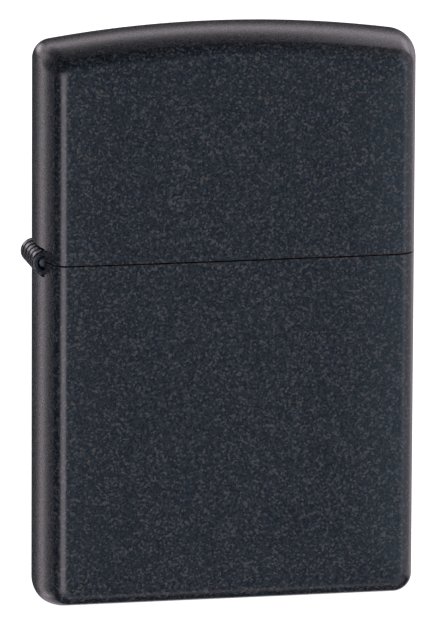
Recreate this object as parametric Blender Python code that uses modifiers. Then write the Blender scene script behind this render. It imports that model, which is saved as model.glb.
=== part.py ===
"""Flip-top petrol lighter, closed, with its insert.

X is the width, with the hinge at -X. Y is the depth, with the front at -Y. Z is up.
The origin is the centre of the case's flat bottom. All sizes are in metres.
"""

import bmesh
import bpy
import math
from mathutils import Matrix, Vector

# Outer body
HALF_W = 0.0187
HALF_D = 0.00635
HEIGHT = 0.0568
WALL = 0.00065
SEAM_Z = 0.0345
SEAM_GAP = 0.0002
CORNER_R = 0.002
PANEL_R = 0.0011
CROWN_R = 0.115
# The band round the sides, top and bottom: the radius of its two edges, and how far it bows out between them
EDGE_R = 0.00092
BOW = 0.0013
# How much the bow is pressed flat underneath, so that the case stands
FOOT = 0.0003

# Hinge
HINGE = (-0.01825, SEAM_Z - 0.0002)
BARREL_R = 0.00125
BARREL_LEN = 0.0064
KNUCKLES = 5
KNUCKLE_GAP = 0.00006
BORE_R = 0.00068
PIN_R = 0.0006
PIN_SINK = 0.0003
NOTCH_HALF = (0.0033, 0.0014)
NOTCH_X = -0.0174
LEAF_X = (-0.0176, -0.0172)
LEAF_HALF_Y = 0.0032
LEAF_START = 0.0012
LEAF_REACH = 0.0078
LEAF_LAP = 0.0001
TONGUE = (0.0003, 0.0014)
LIP_X = -0.0169
LIP_Z = (0.00075, 0.0011)
LIP_HALF_Y = 0.0005

# Holes and axles: the gap round an axle, and how far a cutter passes through its piece
PLAY = 0.00005
BEYOND = 0.001
ACROSS = (-0.006, 0.006)

# Insert can
CAN_HALF_W = 0.0168
CAN_HALF_D = 0.0053
CAN_CORNER = 0.003
CAN_SHOULDER = 0.0007
CAN_WALL = 0.00045
CAN_BOTTOM = 0.0018
DECK_Z = 0.0349

# Wick and wheel
WICK_X = -0.0012
WICK_R = 0.0014
WICK_Z = (0.0156, 0.0445)
WHEEL = (0.0074, 0.0422)
WHEEL_R = 0.0036
WHEEL_HALF_Y = 0.0027
WHEEL_TEETH = 28
TOOTH = 0.00025
HUB_R = 0.0017
HUB_HALF_Y = 0.0042
AXLE_R = 0.0007
WHEEL_HEAD_R = 0.00125

# Flint gear
TUBE_R = (0.00135, 0.0018)
TUBE_Z = (0.00325, 0.0378)
FLINT_R = 0.0012
FLINT_LEN = 0.005
FLINT_TOP = WHEEL[1] - WHEEL_R - 0.00007
SEAT_Z = FLINT_TOP - FLINT_LEN - 0.00005
FLINT_BEVEL = 0.00015
PLUNGER_HEAD = 0.0014
PLUNGER_LEN = 0.0042
PLUNGER_STEM_R = 0.00055
SCREW_Z = 0.00205
SCREW_LEN = 0.0051
SCREW_SHANK_R = (0.0011, 0.00128)
SCREW_HEAD_R = (0.0023, 0.0026)
SCREW_HEAD = (0.00025, 0.0011)
SCREW_SLOT = (0.0008, 0.0005)
SPRING_R = 0.00095
SPRING_WIRE_R = 0.00018
SPRING_TURNS = 11

# Chimney
CHIMNEY_X = (-0.0086, 0.0108)
CHIMNEY_HALF_D = 0.00475
CHIMNEY_WALL = 0.0004
CHIMNEY_CORNER = 0.0024
CHIMNEY_Z = (DECK_Z + PLAY, 0.0522)
# The cut that leaves two ears: places from the wheel's centre, and heights over the deck
EAR_THROAT = ((-0.002, 0.0036), (-0.0012, 0.0024))
EAR_HEAD_R = 0.0019
EAR_SLOPE = ((0.0026, 0.0035), (0.0044, 0.0024))
HOLE_R = 0.00095
HOLE_COLUMNS = (
    (-0.0052, (0.0411, 0.0451, 0.0491)),
    (-0.002, (0.0431, 0.0471)),
    (0.0012, (0.0411, 0.0451, 0.0491)),
)

# Cam
CAM = (-0.0125, 0.0376)
CAM_LOBE = (-0.01615, 0.0363, 0.00085)
CAM_BACK = (-0.0146, 0.0376, 0.0011)
CAM_BOSS_R = 0.00145
CAM_HALF_Y = 0.0019
CAM_AXLE_R = 0.00057
CAM_HEAD_R = 0.00095
EAR_Y = (0.0021, 0.0025)
EAR_R = 0.0012
EAR_FOOT = (0.0016, 0.0002)
RIVET_HEAD = 0.0003
RIVET_GAP = 0.00003

# Flat spring under the cam: X at its end and where it turns up, the radius of the turn, its two sizes
STRIP_X = (-0.0088, -0.0126)
STRIP_BEND_R = 0.004
STRIP_THICK = 0.0002
STRIP_HALF_Y = 0.0017
SPRING_RIVET_X = -0.01
SPRING_RIVET_R = (0.00045, 0.0006, 0.0009)
SPRING_RIVET_Z = (-0.0007, 0.00065)

# Soft filling: X span and Z span of each packing piece
PACKING = (
    ((-0.016, 0.0052), (0.0044, 0.0146)),
    ((-0.016, -0.0031), (0.0149, 0.0242)),
    ((-0.016, -0.0031), (0.0245, 0.034)),
    ((0.0007, 0.0052), (0.0149, 0.034)),
    ((0.0097, 0.016), (0.0044, 0.034)),
)
PACKING_HALF_D = 0.0045
WICK_TAPER = 0.0004
# Felt pad: half width, half depth, corner, thickness, edge and the hole for the screw's head
FELT = (0.0161, 0.0046, 0.0026, 0.002, 0.0002, 0.00285)
FELT_RISE = 0.00015

SIDES = 20
# Where the skin is cut round each edge, from square to the front to square to the band
EDGE_ANGLES = [math.radians(angle) for angle in (90, 65, 42, 20)]
CORNER_STEPS = 5
CROWN_STEPS = 4
MERGE = 0.000001

COLOURS = {
    "black_coat": ((0.02, 0.021, 0.024), 0.3, 0.45),
    "brass": ((0.7, 0.5, 0.22), 1.0, 0.3),
    "stainless": ((0.62, 0.61, 0.59), 1.0, 0.28),
    "spring_steel": ((0.45, 0.45, 0.46), 1.0, 0.35),
    "hard_steel": ((0.3, 0.29, 0.28), 1.0, 0.45),
    "wick_fibre": ((0.8, 0.76, 0.66), 0.0, 0.9),
    "flint_alloy": ((0.12, 0.12, 0.13), 0.6, 0.6),
    "felt": ((0.75, 0.73, 0.68), 0.0, 0.95),
    "cotton": ((0.86, 0.85, 0.82), 0.0, 0.95),
}


# Scene


def clear_scene():
    for obj in list(bpy.data.objects):
        bpy.data.objects.remove(obj, do_unlink=True)


def new_collection(name):
    collection = bpy.data.collections.new(name)
    bpy.context.scene.collection.children.link(collection)
    return collection


def make_material(name):
    colour, metallic, roughness = COLOURS[name]
    material = bpy.data.materials.new(name)
    material.use_nodes = True
    shader = material.node_tree.nodes["Principled BSDF"]
    shader.inputs["Base Color"].default_value = (*colour, 1.0)
    shader.inputs["Metallic"].default_value = metallic
    shader.inputs["Roughness"].default_value = roughness
    return material


def add_object(name, data, location=(0, 0, 0)):
    obj = bpy.data.objects.new(name, data)
    obj.location = location
    PARTS.objects.link(obj)
    return obj


def finish(obj, material):
    """Gives a piece its material and shades its round faces smooth."""
    obj.data.materials.append(MATERIALS[material])
    obj.data.shade_smooth()
    obj.data.set_sharp_from_angle(angle=math.radians(35))
    return obj


def mesh_object(name, work, location=(0, 0, 0)):
    """Turns a bmesh, built about the given place, into an object there."""
    bmesh.ops.recalc_face_normals(work, faces=work.faces)
    mesh = bpy.data.meshes.new(name)
    work.to_mesh(mesh)
    work.free()
    return add_object(name, mesh, location)


# Modifiers


def boolean(obj, cutters, operation):
    """Adds or cuts a list of helper objects, which move to the collection of cutters."""
    group = bpy.data.collections.new(f"{obj.name}_{operation.lower()}")
    CUTTERS.children.link(group)
    for cutter in cutters:
        PARTS.objects.unlink(cutter)
        group.objects.link(cutter)
        cutter.hide_render = True
        cutter.display_type = "WIRE"
    modifier = obj.modifiers.new(group.name, "BOOLEAN")
    modifier.operation = operation
    modifier.operand_type = "COLLECTION"
    modifier.collection = group


def solidify(obj, thickness, offset=-1.0):
    modifier = obj.modifiers.new("wall", "SOLIDIFY")
    modifier.thickness = thickness
    modifier.offset = offset
    modifier.use_even_offset = True


# Shapes


def block(name, x, y, z):
    """A box between the given limits."""
    work = bmesh.new()
    size = Matrix.Diagonal((x[1] - x[0], y[1] - y[0], z[1] - z[0], 1))
    bmesh.ops.create_cube(work, size=1, matrix=size)
    return mesh_object(name, work, (sum(x) / 2, sum(y) / 2, sum(z) / 2))


def rod_y(name, centre, radius, y, sides=SIDES):
    """A cylinder along Y through the point (x, z)."""
    work = bmesh.new()
    depth = y[1] - y[0]
    turn = Matrix.Rotation(math.pi / 2, 4, "X")
    bmesh.ops.create_cone(
        work, cap_ends=True, segments=sides, radius1=radius, radius2=radius, depth=depth, matrix=turn
    )
    return mesh_object(name, work, (centre[0], sum(y) / 2, centre[1]))


def rod_z(name, x, radius, z, sides=SIDES):
    """A cylinder along Z at the given X."""
    work = bmesh.new()
    bmesh.ops.create_cone(
        work, cap_ends=True, segments=sides, radius1=radius, radius2=radius, depth=z[1] - z[0]
    )
    return mesh_object(name, work, (x, 0, sum(z) / 2))


def turned(name, profile, location, along_y=False, closed=False, sides=SIDES):
    """A turned piece: (radius, height) points from top to bottom, spun about the object's Z axis."""
    mesh = bpy.data.meshes.new(name)
    count = len(profile)
    edges = [(i, (i + 1) % count) for i in range(count if closed else count - 1)]
    mesh.from_pydata([(radius, 0, height) for radius, height in profile], edges, [])
    obj = add_object(name, mesh, location)
    if along_y:
        obj.rotation_euler.x = math.pi / 2
    screw = obj.modifiers.new("turn", "SCREW")
    screw.steps = screw.render_steps = sides
    screw.use_merge_vertices = True
    screw.merge_threshold = MERGE
    return obj


def plate_y(name, outline, y, location=(0, 0)):
    """A flat piece cut from a sheet square to Y: (x, z) points about the given (x, z) place."""
    curve = bpy.data.curves.new(name, "CURVE")
    curve.dimensions = "2D"
    curve.fill_mode = "BOTH"
    curve.extrude = (y[1] - y[0]) / 2
    spline = curve.splines.new("POLY")
    spline.use_cyclic_u = True
    spline.points.add(len(outline) - 1)
    for point, (x, z) in zip(spline.points, outline):
        point.co = (x, z, 0, 1)
    obj = add_object(name, curve, (location[0], sum(y) / 2, location[1]))
    obj.rotation_euler.x = math.pi / 2
    return curve_to_mesh(obj)


def curve_to_mesh(obj):
    """Replaces a curve by its mesh, with its caps welded on."""
    bpy.context.view_layer.update()
    evaluated = obj.evaluated_get(bpy.context.evaluated_depsgraph_get())
    mesh = bpy.data.meshes.new_from_object(evaluated)
    work = bmesh.new()
    work.from_mesh(mesh)
    bmesh.ops.remove_doubles(work, verts=work.verts, dist=MERGE)
    bmesh.ops.recalc_face_normals(work, faces=work.faces)
    work.to_mesh(mesh)
    work.free()
    name, place = obj.name, obj.matrix_world.copy()
    bpy.data.objects.remove(obj, do_unlink=True)
    mesh.name = name
    piece = add_object(name, mesh)
    piece.matrix_world = place
    return piece


def arc(centre, radius, start, stop, steps):
    """Points on an arc, with its angles in degrees."""
    angles = [math.radians(start + (stop - start) * i / steps) for i in range(steps + 1)]
    return [(centre[0] + radius * math.cos(a), centre[1] + radius * math.sin(a)) for a in angles]


def hull_of_discs(discs, sides=SIDES):
    """The outline round several discs, each given as (x, z, radius)."""
    work = bmesh.new()
    for x, z, radius in discs:
        place = Matrix.Translation((x, z, 0))
        bmesh.ops.create_circle(work, segments=sides, radius=radius, matrix=place)
    points = [vert.co.copy() for vert in work.verts]
    work.free()
    chain = [min(points, key=lambda p: (p.x, p.y))]
    while True:
        best = points[0] if points[0] != chain[-1] else points[1]
        for p in points:
            side = (best - chain[-1]).cross(p - chain[-1]).z
            if side < 0:
                best = p
        if best == chain[0]:
            return [(p.x, p.y) for p in chain]
        chain.append(best)


# Case and lid


def stations():
    """Places across the depth, each with how far the edge profile sets in there."""
    edge = [(HALF_D - EDGE_R * (1 - math.sin(a)), EDGE_R * (1 - math.cos(a))) for a in EDGE_ANGLES]
    foot = HALF_D * math.sqrt(FOOT / BOW)
    flat = [(y, 0.0) for y in (HALF_D - EDGE_R, (HALF_D - EDGE_R + foot) / 2, foot, foot / 2)]
    half = [(y, inset + BOW * (y / HALF_D) ** 2) for y, inset in edge + flat]
    return [(-y, inset) for y, inset in half] + [(0.0, 0.0)] + list(reversed(half))


def corner_radius(inset):
    """Largest at mid-depth and smallest round the flat panels."""
    return CORNER_R + (PANEL_R - CORNER_R) * inset / (EDGE_R + BOW)


def case_outline(inset):
    """(x, z) points at one place in the depth, from the rim at +X down to the bottom."""
    radius = corner_radius(inset)
    side = HALF_W - inset
    centre = (side - radius, inset - FOOT + radius)
    return [(side, SEAM_Z - SEAM_GAP / 2)] + arc(centre, radius, 0, -90, CORNER_STEPS)


def lid_outline(inset):
    """(x, z) points from the rim at +X, round the corner and along the crown, which the corner runs into."""
    radius = corner_radius(inset)
    side = HALF_W - inset
    crown = CROWN_R - inset
    middle = HEIGHT - CROWN_R
    rise = math.sqrt((crown - radius) ** 2 - (side - radius) ** 2)
    stop = math.degrees(math.atan2(rise, side - radius))
    corner = arc((side - radius, middle + rise), radius, 0, stop, CORNER_STEPS)
    return [(side, SEAM_Z + SEAM_GAP / 2)] + corner + arc((0, middle), crown, stop, 90, CROWN_STEPS)[1:]


def half_shell(name, outline):
    """A drawn half of the body: a skin lofted across the depth, given a wall and the hinge notch."""
    work = bmesh.new()
    rows = []
    for y, inset in stations():
        right = outline(inset)
        left = [(-x, z) for x, z in reversed(right) if x > MERGE]
        rows.append([work.verts.new((x, y, max(z, 0.0))) for x, z in right + left])
    for low, high in zip(rows, rows[1:]):
        for a, b, c, d in zip(low, low[1:], high[1:], high):
            work.faces.new((a, b, c, d))
    work.faces.new(rows[0])
    work.faces.new(list(reversed(rows[-1])))
    bmesh.ops.recalc_face_normals(work, faces=work.faces)
    shell = mesh_object(name, work)
    face_out(shell)
    solidify(shell, WALL)
    half_y, half_z = NOTCH_HALF
    z = (HINGE[1] - half_z, HINGE[1] + half_z)
    notch = block(f"{name}_notch", (HINGE[0] - BEYOND * 2, NOTCH_X), (-half_y, half_y), z)
    boolean(shell, [notch], "DIFFERENCE")
    return finish(shell, "black_coat")


def hang(obj, pivot):
    """Puts a piece under an empty without moving it."""
    obj.parent = pivot
    obj.matrix_parent_inverse = Matrix.Translation(-pivot.location)


def face_out(obj):
    """Turns an open skin so that its faces look away from the body's axis."""
    front = min(obj.data.polygons, key=lambda face: face.center.y)
    if front.normal.y > 0:
        obj.data.flip_normals()


# Hinge


def hinge_leaf(name, up, first):
    """A plate inside the wall with every second knuckle. up is 1 on the lid and -1 on the case."""

    def height(near, far):
        return sorted((HINGE[1] + up * near, HINGE[1] + up * far))

    leaf = block(name, LEAF_X, (-LEAF_HALF_Y, LEAF_HALF_Y), height(LEAF_START, LEAF_REACH))
    added = []
    pitch = BARREL_LEN / KNUCKLES
    for i in range(first, KNUCKLES, 2):
        low = pitch * i - BARREL_LEN / 2
        span = (low + KNUCKLE_GAP / 2, low + pitch - KNUCKLE_GAP / 2)
        middle = sum(span) / 2
        added.append(rod_y(f"{name}_knuckle_{i}", HINGE, BARREL_R, span))
        tongue = (span[0] + LEAF_LAP, span[1] - LEAF_LAP)
        added.append(block(f"{name}_tongue_{i}", LEAF_X, tongue, height(*TONGUE)))
        if up > 0:
            lip = (middle - LIP_HALF_Y, middle + LIP_HALF_Y)
            added.append(block(f"{name}_lip_{i}", (LEAF_X[1] - LEAF_LAP, LIP_X), lip, height(*LIP_Z)))
    boolean(leaf, added, "UNION")
    bore = rod_y(f"{name}_bore", HINGE, BORE_R, (-BARREL_LEN, BARREL_LEN), 16)
    boolean(leaf, [bore], "DIFFERENCE")
    return finish(leaf, "brass")


def make_hinge():
    """Both leaves and the pin. The lid's pieces hang from an empty on the hinge's axis."""
    hinge_leaf("case_hinge_leaf", -1, 0)
    pivot = add_object("lid_pivot", None, (HINGE[0], 0, HINGE[1]))
    hang(hinge_leaf("lid_hinge_leaf", 1, 1), pivot)
    hang(bpy.data.objects["lid_shell"], pivot)
    end = BARREL_LEN / 2 - PIN_SINK
    finish(rod_y("hinge_pin", HINGE, PIN_R, (-end, end), 16), "spring_steel")


# Insert


def rounded_box(name, half_w, half_d, z, corner, edge, open_below=False):
    """A box with rounded upright corners and rounded top edges."""
    work = bmesh.new()
    size = Matrix.Diagonal((half_w * 2, half_d * 2, z[1] - z[0], 1))
    bmesh.ops.create_cube(work, size=1, matrix=size)
    upright = [e for e in work.edges if abs(e.verts[0].co.z - e.verts[1].co.z) > MERGE]
    bmesh.ops.bevel(work, geom=upright, offset=corner, segments=4, profile=0.5, affect="EDGES")
    top = max(work.faces, key=lambda face: face.calc_center_median().z)
    bmesh.ops.bevel(work, geom=list(top.edges), offset=edge, segments=2, profile=0.5, affect="EDGES")
    if open_below:
        bottom = min(work.faces, key=lambda face: face.calc_center_median().z)
        bmesh.ops.delete(work, geom=[bottom], context="FACES_ONLY")
    return mesh_object(name, work, (0, 0, sum(z) / 2))


def make_can():
    """The insert's can: walls, shoulder and deck, open below, with two ears for the cam's axle."""
    z = (CAN_BOTTOM, DECK_Z)
    can = rounded_box("insert_shell", CAN_HALF_W, CAN_HALF_D, z, CAN_CORNER, CAN_SHOULDER, open_below=True)
    face_out(can)
    solidify(can, CAN_WALL)
    foot, sink = EAR_FOOT
    ears = []
    for side in (-1, 1):
        head = arc(CAM, EAR_R, -20, 200, 12)
        outline = [(CAM[0] + foot, DECK_Z - sink), *head, (CAM[0] - foot, DECK_Z - sink)]
        ears.append(plate_y(f"cam_ear_{side}", outline, sorted((side * EAR_Y[0], side * EAR_Y[1]))))
    boolean(can, ears, "UNION")
    through = (DECK_Z - BEYOND, DECK_Z + BEYOND)
    holes = [
        rod_z("wick_hole", WICK_X, WICK_R + PLAY * 2, through),
        rod_z("tube_hole", WHEEL[0], TUBE_R[1] + PLAY, through),
        rod_z("spring_rivet_hole", SPRING_RIVET_X, SPRING_RIVET_R[0] + PLAY, through, 12),
        rod_y("cam_axle_hole", CAM, CAM_AXLE_R + PLAY, ACROSS, 16),
    ]
    boolean(can, holes, "DIFFERENCE")
    finish(can, "stainless")


def ear_cut_outline():
    """What is cut from the windscreen's sides: down its edge, round the ears' heads, out over the deck."""
    x, z = WHEEL
    top = CHIMNEY_Z[1] + BEYOND
    outline = [(x + EAR_THROAT[0][0], top)]
    outline += [(x + across, z + up) for across, up in EAR_THROAT]
    outline += arc(WHEEL, EAR_HEAD_R, 80, -10, 4)
    outline += [(x + across, DECK_Z + up) for across, up in EAR_SLOPE]
    return outline + [(x + EAR_SLOPE[1][0], top)]


def make_chimney():
    """A strip bent into a U, open towards the wheel, cut down to two ears and perforated."""
    corner = arc((CHIMNEY_X[0] + CHIMNEY_CORNER, CHIMNEY_HALF_D - CHIMNEY_CORNER), CHIMNEY_CORNER, 180, 90, 4)
    half = [*corner, (CHIMNEY_X[1], CHIMNEY_HALF_D)]
    path = [(x, -y) for x, y in reversed(half)] + half
    work = bmesh.new()
    low, high = ([work.verts.new((x, y, z)) for x, y in path] for z in CHIMNEY_Z)
    for a, b, c, d in zip(low, low[1:], high[1:], high):
        work.faces.new((a, b, c, d))
    chimney = mesh_object("chimney", work)
    face_out(chimney)
    solidify(chimney, CHIMNEY_WALL)
    cuts = [plate_y("ear_cut", ear_cut_outline(), ACROSS)]
    cuts.append(rod_y("axle_hole", WHEEL, AXLE_R + PLAY, ACROSS, 16))
    for column, levels in HOLE_COLUMNS:
        for level in levels:
            name = f"vent_{len(cuts)}"
            cuts.append(rod_y(name, (column, level), HOLE_R, ACROSS, 12))
    boolean(chimney, cuts, "DIFFERENCE")
    finish(chimney, "stainless")


def make_wheel():
    """The toothed wheel with its hub, and the rivet that it turns on."""
    x, z = WHEEL
    work = bmesh.new()
    turn = Matrix.Rotation(math.pi / 2, 4, "X")
    bmesh.ops.create_cone(
        work,
        cap_ends=True,
        segments=WHEEL_TEETH * 2,
        radius1=WHEEL_R,
        radius2=WHEEL_R,
        depth=WHEEL_HALF_Y * 2,
        matrix=turn,
    )
    for vert in work.verts:
        step = round(math.atan2(vert.co.z, vert.co.x) / math.tau * WHEEL_TEETH * 2)
        if step % 2:
            vert.co.x *= 1 - TOOTH / WHEEL_R
            vert.co.z *= 1 - TOOTH / WHEEL_R
    wheel = mesh_object("flint_wheel", work, (x, 0, z))
    boolean(wheel, [rod_y("wheel_hub", WHEEL, HUB_R, (-HUB_HALF_Y, HUB_HALF_Y))], "UNION")
    boolean(wheel, [rod_y("wheel_bore", WHEEL, AXLE_R + PLAY, ACROSS)], "DIFFERENCE")
    finish(wheel, "hard_steel")
    rivet("wheel_rivet", WHEEL, AXLE_R, WHEEL_HEAD_R, CHIMNEY_HALF_D + RIVET_GAP)


def rivet(name, centre, radius, head_r, grip):
    """An axle with a head outside each of the two plates that it joins."""
    tip = grip + RIVET_HEAD
    half = [(0, tip), (head_r - RIVET_HEAD, tip), (head_r, grip), (radius, grip)]
    profile = half + [(r, -height) for r, height in reversed(half)]
    finish(turned(name, profile, (centre[0], 0, centre[1]), along_y=True), "stainless")


def make_cam():
    shape = hull_of_discs([(*CAM, CAM_BOSS_R), CAM_LOBE, CAM_BACK])
    shape = [(x - CAM[0], z - CAM[1]) for x, z in shape]
    cam = plate_y("cam_lever", shape, (-CAM_HALF_Y, CAM_HALF_Y), CAM)
    boolean(cam, [rod_y("cam_bore", CAM, CAM_AXLE_R + PLAY, ACROSS)], "DIFFERENCE")
    finish(cam, "spring_steel")
    rivet("cam_rivet", CAM, CAM_AXLE_R, CAM_HEAD_R, EAR_Y[1] + RIVET_GAP)


def make_cam_spring():
    """A flat strip riveted to the deck, which turns up under the cam."""
    start = DECK_Z + PLAY
    rise = arc((STRIP_X[1], start + STRIP_BEND_R), STRIP_BEND_R, 270, 238, 4)
    path = [(STRIP_X[0], start), *rise]
    work = bmesh.new()
    near, far = ([work.verts.new((x, y, z)) for x, z in path] for y in (-STRIP_HALF_Y, STRIP_HALF_Y))
    for a, b, c, d in zip(near, near[1:], far[1:], far):
        work.faces.new((a, b, c, d))
    strip = mesh_object("cam_spring", work)
    if strip.data.polygons[0].normal.z > 0:
        strip.data.flip_normals()
    solidify(strip, STRIP_THICK)
    shank, crown, head = SPRING_RIVET_R
    hole = rod_z("strip_hole", SPRING_RIVET_X, shank + PLAY, (DECK_Z - BEYOND, DECK_Z + BEYOND), 12)
    boolean(strip, [hole], "DIFFERENCE")
    finish(strip, "spring_steel")
    low, top = SPRING_RIVET_Z
    seat = PLAY + STRIP_THICK + RIVET_GAP
    profile = [(0, top), (crown, top), (head, seat), (shank, seat), (shank, low), (0, low)]
    finish(turned("cam_spring_rivet", profile, (SPRING_RIVET_X, 0, DECK_Z), sides=16), "stainless")


def make_flint_gear():
    """The tube under the wheel with the flint, its plunger, spring and screw."""
    x = WHEEL[0]
    inner, outer = TUBE_R
    wall = [(outer, TUBE_Z[1]), (outer, TUBE_Z[0]), (inner, TUBE_Z[0]), (inner, TUBE_Z[1])]
    finish(turned("flint_tube", wall, (x, 0, 0), closed=True), "brass")
    low = FLINT_TOP - FLINT_LEN
    bevel = FLINT_BEVEL
    flint = [(0, FLINT_TOP), (FLINT_R - bevel, FLINT_TOP), (FLINT_R, FLINT_TOP - bevel)]
    flint += [(FLINT_R, low + bevel), (FLINT_R - bevel, low), (0, low)]
    finish(turned("flint", flint, (x, 0, 0), sides=16), "flint_alloy")
    head, stem = SEAT_Z - PLUNGER_HEAD, SEAT_Z - PLUNGER_LEN
    plunger = [(0, SEAT_Z), (FLINT_R, SEAT_Z), (FLINT_R, head), (PLUNGER_STEM_R, head)]
    plunger += [(PLUNGER_STEM_R, stem), (0, stem)]
    finish(turned("flint_plunger", plunger, (x, 0, 0), sides=16), "brass")
    make_screw()
    gap = (SCREW_Z + SCREW_LEN + PLAY * 4, head - PLAY)
    make_coil("flint_spring", x, gap)


def make_screw():
    x, top = WHEEL[0], SCREW_Z + SCREW_LEN
    tip, shank = SCREW_SHANK_R
    face, rim = SCREW_HEAD_R
    edge, seat = (SCREW_Z + height for height in SCREW_HEAD)
    profile = [(0, top), (tip, top), (shank, top - (shank - tip)), (shank, seat)]
    profile += [(rim, seat), (rim, edge), (face, SCREW_Z), (0, SCREW_Z)]
    screw = turned("flint_screw", profile, (x, 0, 0))
    width, depth = SCREW_SLOT
    span = (x - rim * 2, x + rim * 2)
    slot = block("screw_slot", span, (-width / 2, width / 2), (SCREW_Z - BEYOND, SCREW_Z + depth))
    boolean(screw, [slot], "DIFFERENCE")
    finish(screw, "brass")


def make_coil(name, x, z, steps=9):
    """A coil spring between two heights, as one wire."""
    curve = bpy.data.curves.new(name, "CURVE")
    curve.dimensions = "3D"
    curve.bevel_depth = SPRING_WIRE_R
    curve.bevel_resolution = 1
    curve.use_fill_caps = True
    count = SPRING_TURNS * steps + 1
    spline = curve.splines.new("POLY")
    spline.points.add(count - 1)
    low, high = z[0] + SPRING_WIRE_R * 1.1, z[1] - SPRING_WIRE_R * 1.1
    for i, point in enumerate(spline.points):
        angle = math.tau * i / steps
        height = low + (high - low) * i / (count - 1)
        point.co = (SPRING_R * math.cos(angle), SPRING_R * math.sin(angle), height, 1)
    finish(curve_to_mesh(add_object(name, curve, (x, 0, 0))), "spring_steel")


def make_wick():
    low, top = WICK_Z
    taper = WICK_TAPER
    profile = [(0, top), (WICK_R - taper, top), (WICK_R, top - taper)]
    profile += [(WICK_R, low + taper), (WICK_R - taper, low), (0, low)]
    finish(turned("wick", profile, (WICK_X, 0, 0), sides=16), "wick_fibre")


def make_packing():
    """Soft packing pieces, each a box cage rounded to fill its share of the can."""
    for number, (x, z) in enumerate(PACKING, 1):
        depth = (-PACKING_HALF_D, PACKING_HALF_D)
        piece = block(f"packing_{number}", x, depth, z)
        piece.modifiers.new("round", "SUBSURF")
        piece.modifiers["round"].levels = piece.modifiers["round"].render_levels = 2
        finish(piece, "cotton")


def make_felt():
    half_w, half_d, corner, thick, edge, hole_r = FELT
    low = SCREW_Z + FELT_RISE
    felt = rounded_box("felt_pad", half_w, half_d, (low, low + thick), corner, edge)
    hole = rod_z("screw_hole", WHEEL[0], hole_r, (low - BEYOND, low + thick + BEYOND))
    boolean(felt, [hole], "DIFFERENCE")
    finish(felt, "felt")


clear_scene()
PARTS = new_collection("lighter")
CUTTERS = new_collection("cutters")
CUTTERS.hide_render = True
MATERIALS = {name: make_material(name) for name in COLOURS}
half_shell("case_shell", case_outline)
half_shell("lid_shell", lid_outline)
make_hinge()
make_can()
make_chimney()
make_wheel()
make_cam()
make_cam_spring()
make_flint_gear()
make_wick()
make_packing()
make_felt()
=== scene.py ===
"""Flip-top petrol lighter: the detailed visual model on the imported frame.

Pieces are shaped in millimetres, in the same axes as the frame, and scaled to metres when they are placed.
"""

import bmesh
import bpy
import math
from mathutils import Matrix, Quaternion, Vector, noise


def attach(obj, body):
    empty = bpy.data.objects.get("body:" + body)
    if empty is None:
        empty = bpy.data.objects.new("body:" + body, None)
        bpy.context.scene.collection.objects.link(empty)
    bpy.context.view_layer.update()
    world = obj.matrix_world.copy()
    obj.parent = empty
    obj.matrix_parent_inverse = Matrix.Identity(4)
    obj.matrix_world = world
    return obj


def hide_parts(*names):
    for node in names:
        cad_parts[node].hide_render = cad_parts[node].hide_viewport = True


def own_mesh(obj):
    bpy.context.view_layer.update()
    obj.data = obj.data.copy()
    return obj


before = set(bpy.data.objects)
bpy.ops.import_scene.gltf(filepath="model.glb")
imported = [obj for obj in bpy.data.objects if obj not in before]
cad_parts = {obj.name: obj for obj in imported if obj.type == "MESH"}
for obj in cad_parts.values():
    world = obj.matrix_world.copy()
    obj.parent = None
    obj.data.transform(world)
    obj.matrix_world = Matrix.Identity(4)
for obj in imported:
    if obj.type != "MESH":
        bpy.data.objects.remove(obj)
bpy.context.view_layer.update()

MM = 0.001

# Outer body
HALF_W = 18.7
HALF_D = 6.35
HEIGHT = 56.8
WALL = 0.65
SEAM_Z = 34.5
SEAM_GAP = 0.12
CORNER_R = 2.0
PANEL_R = 1.1
CROWN_R = 115.0
# The band round the sides, top and bottom: the radius of its two edges, and how far it bows out between them
EDGE_R = 0.92
BOW = 1.3
# How much the bow is pressed flat underneath, and how softly
FOOT = 0.3
FOOT_BLEND = 0.1
# The panels swell a little inside their edges: how much, and over what width
SWELL = 0.2
SWELL_REACH = 7.5
RIM_EDGE = 0.15
SWELL_RINGS = 8
EDGE_STEPS = 14
BAND_STEPS = 12
CORNER_STEPS = 14
CROWN_STEPS = 24

# Hinge
HINGE = (-18.25, SEAM_Z - 0.2)
BARREL_R = 1.25
BARREL_LEN = 6.4
KNUCKLES = 5
KNUCKLE_GAP = 0.06
KNUCKLE_EDGE = 0.22
BORE_R = 0.68
PIN_R = 0.6
PIN_SINK = 0.3
NOTCH_HALF = (3.3, 1.4)
NOTCH_X = -17.4
LEAF_X = (-17.6, -17.2)
LEAF_HALF_Y = 3.2
LEAF_START = 1.2
LEAF_REACH = 7.8
LIP_X = -16.9
LIP_Z = (0.75, 1.1)
LIP_HALF_Y = 0.5

# Insert
CAN_HALF_W = 16.8
CAN_HALF_D = 5.3
CAN_CORNER = 3.0
CAN_SHOULDER = 0.7
CAN_WALL = 0.45
CAN_BOTTOM = 1.8
DECK_Z = 34.9
WICK_X = -1.2
WICK_R = 1.4
WICK_Z = (15.6, 44.5)
WHEEL = (7.4, 42.2)
WHEEL_R = 3.6
WHEEL_TEETH = 28
CROSS_TEETH = 42
TOOTH = 0.25
TUBE_R = (1.35, 1.8)
TUBE_Z = (3.25, 37.8)
FLINT_R = 1.2
FLINT_Z = (33.53, 38.53)
PLUNGER_TOP = 33.48
SPRING_Z = (7.35, 32.03)
SPRING_R = 0.95
SPRING_WIRE_R = 0.18
SPRING_TURNS = 11
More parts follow.
